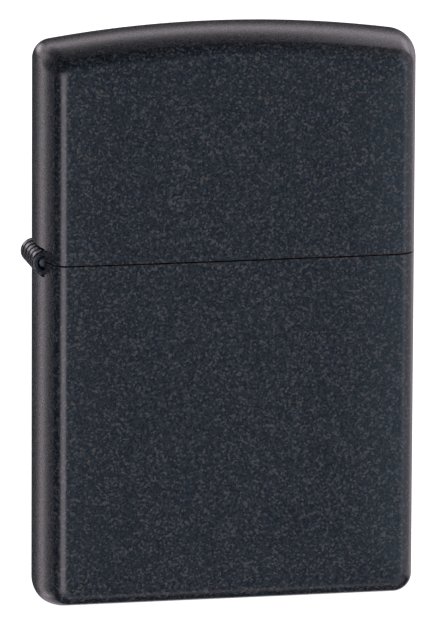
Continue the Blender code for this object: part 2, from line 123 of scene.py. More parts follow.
SCREW_Z = 2.05
SCREW_LEN = 5.1
CHIMNEY_X = (-8.6, 10.8)
CHIMNEY_HALF_D = 4.75
CHIMNEY_WALL = 0.4
CHIMNEY_CORNER = 2.4
CHIMNEY_Z = (34.95, 52.2)
HOLE_R = 0.95
HOLE_COLUMNS = ((-5.2, (41.1, 45.1, 49.1)), (-2.0, (43.1, 47.1)), (1.2, (41.1, 45.1, 49.1)))
CAM = (-12.5, 37.6)
CAM_DISCS = ((-12.5, 37.6, 1.45), (-16.15, 36.3, 0.85), (-14.6, 37.6, 1.1))
CAM_HALF_Y = 1.9
EAR_Y = (2.1, 2.5)
SPRING_RIVET_X = -10.0
PACKING = (
    ((-16.0, 5.2), (4.4, 14.6)),
    ((-16.0, -3.1), (14.9, 24.2)),
    ((-16.0, -3.1), (24.5, 34.0)),
    ((0.7, 5.2), (14.9, 34.0)),
    ((9.7, 16.0), (4.4, 34.0)),
)
PACKING_HALF_D = 4.5
FELT = (16.1, 4.6, 2.6, 2.2, 4.2, 2.85)

SCENE = bpy.context.scene


# Building in millimetres


def solid(name, work):
    """Turns a bmesh into a workbench object, its normals facing out."""
    bmesh.ops.recalc_face_normals(work, faces=work.faces)
    mesh = bpy.data.meshes.new(name)
    work.to_mesh(mesh)
    work.free()
    obj = bpy.data.objects.new(name, mesh)
    SCENE.collection.objects.link(obj)
    return obj


def bake(obj):
    """Applies an object's modifiers."""
    bpy.context.view_layer.update()
    evaluated = obj.evaluated_get(bpy.context.evaluated_depsgraph_get())
    mesh = bpy.data.meshes.new_from_object(evaluated)
    obj.modifiers.clear()
    obj.data = mesh
    return obj


def boolean(obj, tools, operation):
    """Adds or cuts workbench objects, which are used up."""
    group = bpy.data.collections.new("tools")
    SCENE.collection.children.link(group)
    for tool in tools:
        SCENE.collection.objects.unlink(tool)
        group.objects.link(tool)
    modifier = obj.modifiers.new("boolean", "BOOLEAN")
    modifier.operation = operation
    modifier.operand_type = "COLLECTION"
    modifier.collection = group
    bake(obj)
    for tool in tools:
        bpy.data.objects.remove(tool)
    bpy.data.collections.remove(group)
    return obj


def soften(obj, width, segments=3, angle=50):
    """Rounds every edge sharper than the angle."""
    bevel = obj.modifiers.new("edges", "BEVEL")
    bevel.width = width
    bevel.segments = segments
    bevel.limit_method = "ANGLE"
    bevel.angle_limit = math.radians(angle)
    return bake(obj)


def place(obj, name, body, materials, nodes, smooth=40):
    """Scales a finished piece to metres, gives it its body and its finish, and hides the nodes it stands for."""
    obj.name = name
    obj.data.name = name
    obj.data.transform(Matrix.Scale(MM, 4))
    if len(obj.data.materials) == 0:
        for material in materials:
            obj.data.materials.append(material)
    obj.data.shade_smooth()
    obj.data.set_sharp_from_angle(angle=math.radians(smooth))
    weighted = obj.modifiers.new("normals", "WEIGHTED_NORMAL")
    weighted.keep_sharp = True
    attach(obj, body)
    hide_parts(*nodes)
    return obj


def loft(work, rows, closed=False):
    """Joins rows of vertices with faces."""
    for low, high in zip(rows, rows[1:]):
        pairs = list(zip(low, high))
        if closed:
            pairs.append(pairs[0])
        for (a, b), (c, d) in zip(pairs, pairs[1:]):
            work.faces.new((a, c, d, b))


def box(x, y, z):
    work = bmesh.new()
    size = Matrix.Diagonal((x[1] - x[0], y[1] - y[0], z[1] - z[0], 1))
    centre = Matrix.Translation((sum(x) / 2, sum(y) / 2, sum(z) / 2))
    bmesh.ops.create_cube(work, size=1, matrix=centre @ size)
    return solid("box", work)


def turned(profile, place_at, along_y=False, sides=48):
    """A turned solid: (radius, height) points from top to bottom about Z, or about Y."""
    work = bmesh.new()
    rows = []
    for radius, height in profile:
        if radius == 0:
            rows.append([work.verts.new((0, 0, height))] * sides)
            continue
        angles = [math.tau * i / sides for i in range(sides)]
        rows.append([work.verts.new((radius * math.cos(a), radius * math.sin(a), height)) for a in angles])
    for low, high in zip(rows, rows[1:]):
        for i in range(sides):
            j = (i + 1) % sides
            corners = [low[i], low[j], high[j], high[i]]
            corners = [v for k, v in enumerate(corners) if v is not corners[k - 1]]
            work.faces.new(corners)
    turn = Matrix.Rotation(math.pi / 2, 4, "X") if along_y else Matrix.Identity(4)
    bmesh.ops.transform(work, matrix=Matrix.Translation(place_at) @ turn, verts=work.verts)
    return solid("turned", work)


def rod_y(centre, radius, y, sides=48):
    half = (y[1] - y[0]) / 2
    return turned([(0, half), (radius, half), (radius, -half), (0, -half)], (centre[0], sum(y) / 2, centre[1]), True, sides)


def rod_z(x, radius, z, sides=48):
    return turned([(0, z[1]), (radius, z[1]), (radius, z[0]), (0, z[0])], (x, 0, 0), False, sides)


def plate(outline, y):
    """A flat piece square to Y from (x, z) points."""
    work = bmesh.new()
    near, far = ([work.verts.new((x, level, z)) for x, z in outline] for level in y)
    loft(work, [near, far], closed=True)
    work.faces.new(near)
    work.faces.new(list(reversed(far)))
    return solid("plate", work)


def arc(centre, radius, start, stop, steps):
    angles = [math.radians(start + (stop - start) * i / steps) for i in range(steps + 1)]
    return [(centre[0] + radius * math.cos(a), centre[1] + radius * math.sin(a)) for a in angles]


# Node materials


class Nodes:
    """Builds one node tree. A call adds a node, sets its values and links its inputs."""

    def __init__(self, tree):
        self.tree = tree
        tree.nodes.clear()

    def __call__(self, kind, settings=None, **inputs):
        node = self.tree.nodes.new(kind)
        for key, value in (settings or {}).items():
            setattr(node, key, value)
        for key, value in inputs.items():
            socket = node.inputs[int(key[1:])] if key[1:].isdigit() else node.inputs[key.replace("_", " ")]
            if isinstance(value, bpy.types.NodeSocket):
                self.tree.links.new(value, socket)
            else:
                socket.default_value = value
        return node

    def scaled(self, x, y, z):
        """Object coordinates, stretched."""
        spot = self("ShaderNodeTexCoord").outputs["Object"]
        return self("ShaderNodeMapping", Vector=spot, Scale=(x, y, z)).outputs[0]

    def noise(self, spot, scale, detail=2.0, roughness=0.5):
        node = self("ShaderNodeTexNoise", Vector=spot, Scale=scale, Detail=detail, Roughness=roughness)
        return node.outputs["Fac"]

    def cells(self, spot, scale, output="Color"):
        return self("ShaderNodeTexVoronoi", Vector=spot, Scale=scale).outputs[output]

    def spread(self, value, low, high, to_low=0.0, to_high=1.0):
        settings = {"interpolation_type": "SMOOTHSTEP"}
        node = self("ShaderNodeMapRange", settings, _0=value, _1=low, _2=high, _3=to_low, _4=to_high)
        return node.outputs[0]

    def maths(self, operation, a, b=0.0):
        return self("ShaderNodeMath", {"operation": operation}, _0=a, _1=b).outputs[0]

    def mix(self, factor, a, b):
        """Mixes two colours."""
        node = self("ShaderNodeMix", {"data_type": "RGBA"}, _0=factor, _6=a, _7=b)
        return node.outputs[2]

    def bump(self, height, strength, distance):
        return self("ShaderNodeBump", Height=height, Strength=strength, Distance=distance).outputs[0]

    def output(self, shader):
        self("ShaderNodeOutputMaterial", Surface=shader.outputs[0])


def material(name, build):
    made = bpy.data.materials.new(name)
    made.use_nodes = True
    build(Nodes(made.node_tree))
    return made


def rgb(r, g, b):
    return (r, g, b, 1.0)


def coat(n):
    """Fine-grained black powder coat: small soft grains of uneven brightness, some of them grey, tan or bluish."""
    spot = n.scaled(1, 1, 1)
    grain = n.noise(spot, 4300.0, 3.0, 0.6)
    mottle = n.noise(spot, 240.0, 2.0)
    tone = n.noise(spot, 1900.0, 2.0)
    speck = n("ShaderNodeTexVoronoi", {"feature": "SMOOTH_F1"}, Vector=spot, Scale=5200.0, Smoothness=0.3)
    chance = n("ShaderNodeSeparateColor", Color=speck.outputs["Color"]).outputs[0]
    dark = n.mix(n.spread(grain, 0.34, 0.7), rgb(0.002, 0.0055, 0.0085), rgb(0.0185, 0.0255, 0.0335))
    tint = n.mix(n.spread(tone, 0.42, 0.58), rgb(0.07, 0.063, 0.057), rgb(0.047, 0.058, 0.07))
    sparse = n.spread(n.maths("ADD", chance, n.maths("MULTIPLY", mottle, 0.16)), 0.7, 1.05)
    base = n.mix(sparse, dark, tint)
    rough = n.spread(grain, 0.3, 0.7, 0.25, 0.31)
    normal = n.bump(grain, 0.14, 0.00002)
    n.output(n("ShaderNodeBsdfPrincipled", Base_Color=base, Roughness=rough, Normal=normal))


def brass(n):
    spot = n.scaled(1, 1, 0.05)
    lines = n.noise(spot, 4000.0, 3.0)
    cloud = n.noise(n.scaled(1, 1, 1), 220.0, 4.0)
    base = n.mix(n.spread(cloud, 0.35, 0.7), rgb(0.72, 0.5, 0.21), rgb(0.55, 0.36, 0.14))
    rough = n.spread(lines, 0.3, 0.7, 0.22, 0.42)
    normal = n.bump(lines, 0.2, 0.00001)
    n.output(n("ShaderNodeBsdfPrincipled", Base_Color=base, Metallic=1.0, Roughness=rough, Normal=normal))


def worn_rim(n):
    """Thin coat on a cut edge, with bare metal showing through in places."""
    spot = n.scaled(1, 1, 1)
    patch = n.spread(n.noise(spot, 900.0, 4.0, 0.6), 0.46, 0.66)
    base = n.mix(patch, rgb(0.014, 0.009, 0.008), rgb(0.34, 0.2, 0.12))
    rough = n.spread(n.noise(spot, 5000.0), 0.3, 0.7, 0.35, 0.55)
    n.output(n("ShaderNodeBsdfPrincipled", Base_Color=base, Metallic=patch, Roughness=rough))


def brushed(n, dark, light, rough_low, rough_high):
    """Drawn sheet metal: fine level lines, a little uneven, with faint smudges."""
    level = n.noise(n.scaled(0.03, 0.03, 1), 5200.0, 3.0, 0.6)
    flat = n.noise(n.scaled(0.03, 1, 0.03), 5200.0, 3.0, 0.6)
    lines = n.maths("ADD", n.maths("MULTIPLY", level, 0.6), n.maths("MULTIPLY", flat, 0.4))
    smudge = n.noise(n.scaled(1, 1, 1), 190.0, 3.0)
    base = n.mix(n.spread(lines, 0.35, 0.65), rgb(*dark), rgb(*light))
    rough = n.maths("ADD", n.spread(lines, 0.3, 0.7, rough_low, rough_high), n.spread(smudge, 0.45, 0.75, 0.0, 0.09))
    normal = n.bump(lines, 0.25, 0.000008)
    n.output(n("ShaderNodeBsdfPrincipled", Base_Color=base, Metallic=1.0, Roughness=rough, Normal=normal))


def stainless(n):
    brushed(n, (0.5, 0.49, 0.47), (0.68, 0.67, 0.65), 0.2, 0.36)


def spring_steel(n):
    brushed(n, (0.3, 0.3, 0.31), (0.45, 0.45, 0.46), 0.26, 0.42)


def blued_steel(n):
    brushed(n, (0.035, 0.042, 0.052), (0.07, 0.082, 0.1), 0.34, 0.5)


def hard_steel(n):
    """Case-hardened wheel: dark and straw-tinted in places, brighter where the thumb rubs."""
    spot = n.scaled(1, 1, 1)
    grain = n.noise(spot, 4200.0, 3.0, 0.6)
    tint = n.spread(n.noise(spot, 420.0, 3.0), 0.4, 0.65)
    dark = n.mix(tint, rgb(0.13, 0.125, 0.125), rgb(0.2, 0.165, 0.125))
    edge = n.spread(n("ShaderNodeNewGeometry").outputs["Pointiness"], 0.5, 0.58)
    base = n.mix(edge, dark, rgb(0.5, 0.48, 0.46))
    rough = n.spread(grain, 0.3, 0.7, 0.3, 0.5)
    normal = n.bump(grain, 0.3, 0.00001)
    n.output(n("ShaderNodeBsdfPrincipled", Base_Color=base, Metallic=1.0, Roughness=rough, Normal=normal))


def flint_alloy(n):
    """Pressed grey rod with a dull, grainy skin."""
    spot = n.scaled(1, 1, 1)
    grain = n.noise(spot, 3600.0, 4.0, 0.7)
    base = n.mix(grain, rgb(0.05, 0.05, 0.055), rgb(0.19, 0.185, 0.18))
    rough = n.spread(grain, 0.3, 0.7, 0.5, 0.75)
    normal = n.bump(grain, 0.5, 0.00003)
    n.output(n("ShaderNodeBsdfPrincipled", Base_Color=base, Metallic=0.6, Roughness=rough, Normal=normal))


def fibres(n, dark, light, scale, depth):
    """Loose fibres: thin crossing strands with soft shade between them."""
    wide = n.noise(n.scaled(1, 1, 0.25), scale, 4.0, 0.7)
    tall = n.noise(n.scaled(0.25, 1, 1), scale, 4.0, 0.7)
    fluff = n.maths("MAXIMUM", wide, tall)
    patch = n.noise(n.scaled(1, 1, 1), scale * 0.12, 2.0)
    base = n.mix(n.spread(fluff, 0.35, 0.7), rgb(*dark), rgb(*light))
    base = n.mix(n.spread(patch, 0.3, 0.8, 0.0, 0.35), base, rgb(*dark))
    rough = n.spread(fluff, 0.3, 0.7, 0.85, 1.0)
    normal = n.bump(fluff, 0.6, depth)
    look = {"Sheen_Weight": 0.4, "Sheen_Roughness": 0.5, "Specular_IOR_Level": 0.25}
    n.output(n("ShaderNodeBsdfPrincipled", Base_Color=base, Roughness=rough, Normal=normal, **look))


def cotton(n):
    fibres(n, (0.62, 0.6, 0.56), (0.86, 0.85, 0.81), 2600.0, 0.00006)


def felt(n):
    fibres(n, (0.5, 0.475, 0.42), (0.74, 0.715, 0.65), 3400.0, 0.00008)


def yarn(n):
    fibres(n, (0.52, 0.47, 0.37), (0.82, 0.78, 0.67), 5200.0, 0.00004)


def copper(n):
    brushed(n, (0.55, 0.26, 0.13), (0.78, 0.42, 0.24), 0.25, 0.4)


def floor_paper(n):
    spot = n.scaled(1, 1, 1)
    tone = n.mix(n.noise(spot, 900.0), rgb(0.88, 0.88, 0.88), rgb(0.92, 0.92, 0.92))
    glow = {"Emission_Color": rgb(1.0, 1.0, 1.0), "Emission_Strength": 1.0}
    n.output(n("ShaderNodeBsdfPrincipled", Base_Color=tone, Roughness=0.9, Specular_IOR_Level=0.0, **glow))


# Case and lid


def stations():
    """Places across the depth, front to back, each with how far the outline is set in there."""
    half = []
    for i in range(SWELL_RINGS):
        share = 1 - i / SWELL_RINGS
        half.append((HALF_D - SWELL * (1 - share) ** 2.5, EDGE_R + BOW + SWELL_REACH * share))
    border = HALF_D - SWELL
    for i in range(EDGE_STEPS + 1):
        angle = math.radians(90 * (1 - i / EDGE_STEPS))
        half.append((border - EDGE_R * (1 - math.sin(angle)), EDGE_R * (1 - math.cos(angle))))
    start = border - EDGE_R
    half += [(start * (1 - i / BAND_STEPS), 0.0) for i in range(1, BAND_STEPS)]
    half = [(y, inset + BOW * (y / border) ** 2 if inset < EDGE_R + 1e-6 else inset) for y, inset in half]
    return [(-y, inset) for y, inset in half] + [(0.0, 0.0)] + list(reversed(half))


def corner_radius(inset):
    """Largest at mid-depth and smallest on the flat panels."""
    return max(CORNER_R + (PANEL_R - CORNER_R) * inset / (EDGE_R + BOW), 0.5)


def grounded(z):
    """Presses what lies under the ground up to it, with a soft edge."""
    return (z + math.sqrt(z * z + 4 * FOOT_BLEND ** 2)) / 2


def case_outline(inset):
    """(x, z) points at one place in the depth, from the rim at +X down to the middle of the bottom."""
    radius = corner_radius(inset)
    side = HALF_W - inset
    floor = inset - FOOT
    rim = SEAM_Z - SEAM_GAP / 2
    points = [(side, z) for z in (rim, rim - 0.6, 24.0, 16.0)]
    points += arc((side - radius, floor + radius), radius, 0, -90, CORNER_STEPS)
    points += [(x, floor) for x in (6.0, 3.0, 0.0)]
    return [(x, grounded(z)) for x, z in points]


def lid_outline(inset):
    """(x, z) points from the rim at +X, round the corner and along the crown, which the corner runs into."""
    radius = corner_radius(inset)
    side = HALF_W - inset
    crown = CROWN_R - inset
    middle = HEIGHT - CROWN_R
    rise = math.sqrt((crown - radius) ** 2 - (side - radius) ** 2)
    stop = math.degrees(math.atan2(rise, side - radius))
    rim = SEAM_Z + SEAM_GAP / 2
    points = [(side, z) for z in (rim, rim + 0.6, 38.0, 42.0)]
    points += arc((side - radius, middle + rise), radius, 0, stop, CORNER_STEPS)
    return points + arc((0, middle), crown, stop, 90, CROWN_STEPS)[1:]


def half_shell(name, outline):
    """A drawn half of the body: a skin lofted across the depth, given a wall, a notch and soft rims."""
    work = bmesh.new()
    rows = []
    for y, inset in stations():
        right = outline(inset)
        left = [(-x, z) for x, z in reversed(right[:-1])]
        rows.append([work.verts.new((x, y, z)) for x, z in right + left])
    loft(work, rows)
    work.faces.new(rows[0])
    work.faces.new(list(reversed(rows[-1])))
    shell = solid(name, work)
    front = min(shell.data.polygons, key=lambda face: face.center.y)
    if front.normal.y > 0:
        shell.data.flip_normals()
    wall = shell.modifiers.new("wall", "SOLIDIFY")
    wall.thickness = WALL
    wall.offset = -1.0
    wall.use_even_offset = True
    wall.material_offset = 1
    wall.material_offset_rim = 2
    for made in (COAT, BRASS, RIM):
        shell.data.materials.append(made)
    half_y, half_z = NOTCH_HALF
    notch = box((HINGE[0] - 2, NOTCH_X), (-half_y, half_y), (HINGE[1] - half_z, HINGE[1] + half_z))
    boolean(shell, [notch], "DIFFERENCE")
    return soften(shell, RIM_EDGE, 3, 55)


# Hinge


def knuckle(up, span):
    """One curled end of a leaf, round the pin, its edges rounded, with the strip that joins it to the plate."""
    half = BARREL_LEN / KNUCKLES / 2 - KNUCKLE_GAP / 2
    steps = [math.radians(90 * i / 5) for i in range(6)]
    edge = [(BARREL_R - KNUCKLE_EDGE * (1 - math.sin(a)), half - KNUCKLE_EDGE * (1 - math.cos(a))) for a in steps]
    face = [(BORE_R, half - 0.06), (BORE_R + 0.06, half)]
    side = face + edge
    section = side + [(r, -y) for r, y in reversed(side)]
    curl = ring_turned(section, (HINGE[0], sum(span) / 2, HINGE[1]), along_y=True)
    x = (HINGE[0] + BARREL_R - 0.35, LEAF_X[1])
    z = sorted((HINGE[1] + up * 0.3, HINGE[1] + up * (LEAF_START + 0.2)))
    strip = box((LEAF_X[0], LEAF_X[1]), (span[0] + 0.1, span[1] - 0.1), z)
    return [curl, strip]


def hinge_leaf(name, body, node, up, first):
    pitch = BARREL_LEN / KNUCKLES
    z = sorted((HINGE[1] + up * LEAF_START, HINGE[1] + up * LEAF_REACH))
    leaf = box(LEAF_X, (-LEAF_HALF_Y, LEAF_HALF_Y), z)
    added = []
    for i in range(first, KNUCKLES, 2):
        low = pitch * i - BARREL_LEN / 2
        span = (low + KNUCKLE_GAP / 2, low + pitch - KNUCKLE_GAP / 2)
        added += knuckle(up, span)
        middle = sum(span) / 2
        if up > 0:
            lip = (middle - LIP_HALF_Y, middle + LIP_HALF_Y)
            added.append(box((LEAF_X[1] - 0.1, LIP_X), lip, [HINGE[1] + z for z in LIP_Z]))
    boolean(leaf, added, "UNION")
    leaf.data.materials.clear()
    for made in (COAT, BRASS):
        leaf.data.materials.append(made)
    for face in leaf.data.polygons:
        out = math.hypot(face.center.x - HINGE[0], face.center.z - HINGE[1])
        barrel = BORE_R + 0.02 < out < BARREL_R + 0.02 and face.center.x < LEAF_X[0]
        face.material_index = 0 if barrel else 1
    place(leaf, name, body, [], [node])


def make_hinge():
    hinge_leaf("hinge_leaf_case_side", "case", "case_hinge_leaf", -1, 0)
    hinge_leaf("hinge_leaf_lid_side", "lid", "lid_hinge_leaf", 1, 1)
    end = BARREL_LEN / 2 - PIN_SINK
    dome = [(0, end), (0.25, end - 0.01), (0.42, end - 0.05), (0.54, end - 0.11), (PIN_R, end - 0.22)]
    profile = dome + [(r, -z) for r, z in reversed(dome)]
    pin = turned(profile, (HINGE[0], 0, HINGE[1]), along_y=True)
    place(pin, "hinge_pin_rod", "case", [BLUED], ["hinge_pin"])


# Insert


def rounded_loop(half_w, half_d, corner, z, steps=10):
    """A level loop: a rectangle with round corners."""
    points = []
    for sx, sy, start in ((1, 1, 0), (-1, 1, 90), (-1, -1, 180), (1, -1, 270)):
        centre = (sx * (half_w - corner), sy * (half_d - corner))
        points += [Vector((x, y, z)) for x, y in arc(centre, corner, start, start + 90, steps)]
    return points


def can_skin(half_w, half_d, corner, shoulder, z, lid_ring=0.6, steps=10):
    """An open skin of level loops, rounded over at the top and closed there."""
    work = bmesh.new()
    turns = [math.radians(90 * i / 6) for i in range(7)]
    levels = [(0.0, height) for height in (z[0], z[0] + 0.6, (z[0] + z[1]) / 2)]
    levels += [(shoulder * (1 - math.cos(a)), z[1] - shoulder + shoulder * math.sin(a)) for a in turns]
    levels.append((shoulder + lid_ring, z[1]))
    rows = []
    for inset, height in levels:
        loop = rounded_loop(half_w - inset, half_d - inset, max(corner - inset, 0.2), height, steps)
        rows.append([work.verts.new(p) for p in loop])
    loft(work, rows, closed=True)
    work.faces.new(rows[-1])
    return work


def give_wall(obj, thickness, outward):
    """Thickens an open skin inward. outward tells, for a face, whether its normal points out."""
    if not outward(obj.data):
        obj.data.flip_normals()
    wall = obj.modifiers.new("wall", "SOLIDIFY")
    wall.thickness = thickness
    wall.offset = -1.0
    wall.use_even_offset = True
    return bake(obj)


def front_faces_out(mesh):
    return min(mesh.polygons, key=lambda face: face.center.y).normal.y < 0


def make_can():
    """The insert's can with its deck, its holes and the two ears for the cam."""
    z = (CAN_BOTTOM, DECK_Z)
    can = solid("can", can_skin(CAN_HALF_W, CAN_HALF_D, CAN_CORNER, CAN_SHOULDER, z))
    give_wall(can, CAN_WALL, front_faces_out)
    ears = []
    for side in (-1, 1):
        head = arc(CAM, 1.2, -20, 200, 28)
        outline = [(CAM[0] + 1.6, DECK_Z - 0.2), *head, (CAM[0] - 1.6, DECK_Z - 0.2)]
        ears.append(plate(outline, sorted((side * EAR_Y[0], side * EAR_Y[1]))))
    boolean(can, ears, "UNION")
    through = (DECK_Z - 2, DECK_Z + 1)
    holes = [rod_z(WICK_X, WICK_R + 0.1, through), rod_z(WHEEL[0], TUBE_R[1] + 0.05, through)]
    holes.append(rod_z(SPRING_RIVET_X, 0.5, through, 24))
    holes.append(rod_y(CAM, 0.62, (-6, 6), 32))
    boolean(can, holes, "DIFFERENCE")
    place(soften(can, 0.07), "insert_can", "case", [STAINLESS], ["insert_shell"])


def ear_cut():
    """What is cut from the windscreen's sides to leave two ears for the wheel."""
    x, z = WHEEL
    top = CHIMNEY_Z[1] + 1
    outline = [(x - 2, top), (x - 2, z + 3.6), (x - 1.2, z + 2.4)] + arc(WHEEL, 1.9, 80, -10, 24)
    return outline + [(x + 2.6, DECK_Z + 3.5), (x + 4.4, DECK_Z + 2.4), (x + 4.4, top)]


def make_chimney():
    corner = arc((CHIMNEY_X[0] + CHIMNEY_CORNER, CHIMNEY_HALF_D - CHIMNEY_CORNER), CHIMNEY_CORNER, 180, 90, 12)
    half = [*corner, (CHIMNEY_X[1], CHIMNEY_HALF_D)]
    path = [(x, -y) for x, y in reversed(half)] + half
    work = bmesh.new()
    loft(work, [[work.verts.new((x, y, z)) for x, y in path] for z in CHIMNEY_Z])
    chimney = give_wall(solid("chimney", work), CHIMNEY_WALL, front_faces_out)
    cuts = [plate(ear_cut(), (-6, 6)), rod_y(WHEEL, 0.75, (-6, 6), 32)]
    cuts += [rod_y((x, z), HOLE_R, (-6, 6), 40) for x, levels in HOLE_COLUMNS for z in levels]
    boolean(chimney, cuts, "DIFFERENCE")
    place(soften(chimney, 0.07), "windscreen", "case", [STAINLESS], ["chimney"])


def tooth_cut(kind, angle, y):
    """How deep the surface lies under the wheel's rim: thumb grooves, or a slanted file cut."""
    if kind == "thumb":
        wave = abs((angle / math.tau * WHEEL_TEETH) % 1 - 0.5) * 2
        return TOOTH * min(1.0, max(0.0, wave * 1.6 - 0.2))
    if kind == "cross":
        return 0.22 * ((angle / math.tau * CROSS_TEETH + y * 0.9) % 1)
    return 0.0


def wheel_side():
    """Half of the wheel's section, from its middle to its bore: (radius, y, kind of teeth)."""
    rows = [(3.52, 0.24 * i, "cross") for i in range(1, 7)]
    rows += [(3.2, 1.5, ""), (3.2, 1.62, ""), (3.52, 1.7, "thumb"), (3.6, 1.8, "thumb"), (3.6, 2.45, "thumb")]
    rows += [(3.52, 2.6, "thumb"), (3.3, 2.7, ""), (2.9, 2.7, ""), (2.78, 2.62, ""), (2.75, 2.5, "")]
    rows += [(1.8, 2.5, ""), (1.7, 2.58, ""), (1.7, 4.1, ""), (1.66, 4.17, ""), (1.58, 4.2, "")]
    return rows + [(0.86, 4.2, ""), (0.79, 4.17, ""), (0.76, 4.1, "")]


def make_wheel():
    half = wheel_side()
    section = [(r, -y, kind) for r, y, kind in reversed(half)] + [(3.52, 0.0, "cross")] + half
    around = WHEEL_TEETH * 12
    work = bmesh.new()
    rows = []
    for radius, y, kind in section:
        row = []
        for i in range(around):
            angle = math.tau * i / around
            r = radius - tooth_cut(kind, angle, y)
            row.append(work.verts.new((WHEEL[0] + r * math.cos(angle), y, WHEEL[1] + r * math.sin(angle))))
        rows.append(row)
    loft(work, rows + [rows[0]], closed=True)
    place(solid("wheel", work), "striking_wheel", "wheel", [HARD], ["flint_wheel"], 28)
    rivet("wheel_axle", WHEEL, 0.7, 1.25, CHIMNEY_HALF_D + 0.03, "wheel_rivet")
    rivet("cam_axle", CAM, 0.57, 0.95, EAR_Y[1] + 0.03, "cam_rivet")


def rivet(name, centre, radius, head_r, grip, node):
    """An axle with a low domed head, dimpled by the tool, at each end."""
    head = [(0.0, 0.2), (0.16, 0.2), (0.28, 0.24), (0.38, 0.29), (0.5, 0.3), (0.7, 0.27), (0.86, 0.2)]
    head += [(0.96, 0.1), (1.0, 0.04), (0.98, 0.0)]
    half = [(share * head_r, grip + height) for share, height in head] + [(radius, grip)]
    profile = half + [(r, -y) for r, y in reversed(half)]
    axle = turned(profile, (centre[0], 0, centre[1]), along_y=True)
    place(axle, name, "case", [STAINLESS], [node], 50)


def hull(discs, sides=64):
    """The outline round several discs, each given as (x, z, radius)."""
    points = [(x + r * math.cos(math.tau * i / sides), z + r * math.sin(math.tau * i / sides))
              for x, z, r in discs for i in range(sides)]
    chain = [min(points)]
    while True:
        best = next(p for p in points if p != chain[-1])
        for p in points:
            ax, az = best[0] - chain[-1][0], best[1] - chain[-1][1]
            bx, bz = p[0] - chain[-1][0], p[1] - chain[-1][1]
            if ax * bz - az * bx < -1e-9:
                best = p
        if best == chain[0]:
            return chain
        chain.append(best)


def make_cam():
    """The cam, pressed from thick sheet, with a shallow pocket on each side, and its flat spring."""
    cam = plate(hull(CAM_DISCS), (-CAM_HALF_Y, CAM_HALF_Y))
    pocket = hull([(CAM_DISCS[1][0] + 0.1, CAM_DISCS[1][1] + 0.1, 0.35), (-14.5, 37.45, 0.5)])
    tools = [plate(pocket, (1.7, 2.2)), plate(pocket, (-2.2, -1.7)), rod_y(CAM, 0.62, (-3, 3), 40)]
    boolean(cam, tools, "DIFFERENCE")
    place(soften(cam, 0.09), "cam", "cam", [SPRING], ["cam_lever"])
    start = DECK_Z + 0.05
    rise = arc((-12.6, start + 4), 4.0, 270, 238, 16)
    work = bmesh.new()
    loft(work, [[work.verts.new((x, y, z)) for x, z in [(-8.8, start), *rise]] for y in (-1.7, 1.7)])
    strip = solid("strip", work)
    give_wall(strip, 0.2, lambda mesh: mesh.polygons[0].normal.z < 0)
    boolean(strip, [rod_z(SPRING_RIVET_X, 0.5, (start - 1, start + 1), 24)], "DIFFERENCE")
    place(soften(strip, 0.05), "cam_leaf_spring", "case", [SPRING], ["cam_spring"])
    head = [(0, 0.65), (0.3, 0.64), (0.55, 0.6), (0.75, 0.51), (0.87, 0.38), (0.9, 0.3), (0.45, 0.28)]
    profile = head + [(0.45, -0.7), (0, -0.7)]
    low = turned(profile, (SPRING_RIVET_X, 0, DECK_Z), sides=32)
    place(low, "leaf_spring_rivet", "case", [STAINLESS], ["cam_spring_rivet"])


# Flint gear


def make_flint_gear():
    x = WHEEL[0]
    inner, outer = TUBE_R
    low, high = TUBE_Z
    wall = [(inner, high - 0.1), (inner + 0.08, high), (outer - 0.08, high), (outer, high - 0.1)]
    wall += [(outer, low + 0.1), (outer - 0.08, low), (inner + 0.08, low), (inner, low + 0.1)]
    tube = ring_turned(wall, (x, 0, 0))
    place(tube, "flint_pipe", "case", [BRASS], ["flint_tube"])
    low, high = FLINT_Z
    rod = turned(flint_profile(low, high), (x, 0, 0), sides=40)
    for vert in rod.data.vertices:
        shift = 0.02 * noise.noise(vert.co * 3.5)
        vert.co.x += (vert.co.x - x) * shift
        vert.co.y += vert.co.y * shift
    place(rod, "flint_rod", "flint_feed", [FLINT], ["flint"])
    top = PLUNGER_TOP
    profile = [(0, top), (1.1, top), (1.2, top - 0.1), (1.2, top - 1.3), (1.1, top - 1.4), (0.6, top - 1.42)]
    profile += [(0.55, top - 1.5), (0.55, top - 4.05), (0.45, top - 4.2), (0, top - 4.2)]
    place(turned(profile, (x, 0, 0)), "plunger", "flint_feed", [BRASS], ["flint_plunger"])
    make_screw()
    make_spring()


def flint_profile(low, high):
    levels = [high - 0.15 - (high - low - 0.3) * i / 12 for i in range(13)]
    return [(0, high), (FLINT_R - 0.15, high)] + [(FLINT_R, z) for z in levels] + [(FLINT_R - 0.15, low), (0, low)]


def ring_turned(section, place_at, along_y=False, sides=48):
    """A turned ring from a closed section of (radius, height) points about Z, or about Y."""
    work = bmesh.new()
    angles = [math.tau * i / sides for i in range(sides)]
    rows = [[work.verts.new((r * math.cos(a), r * math.sin(a), height)) for a in angles] for r, height in section]
    loft(work, rows + rows[:1], closed=True)
    turn = Matrix.Rotation(math.pi / 2, 4, "X") if along_y else Matrix.Identity(4)
    bmesh.ops.transform(work, matrix=Matrix.Translation(place_at) @ turn, verts=work.verts)
    return solid("ring", work)


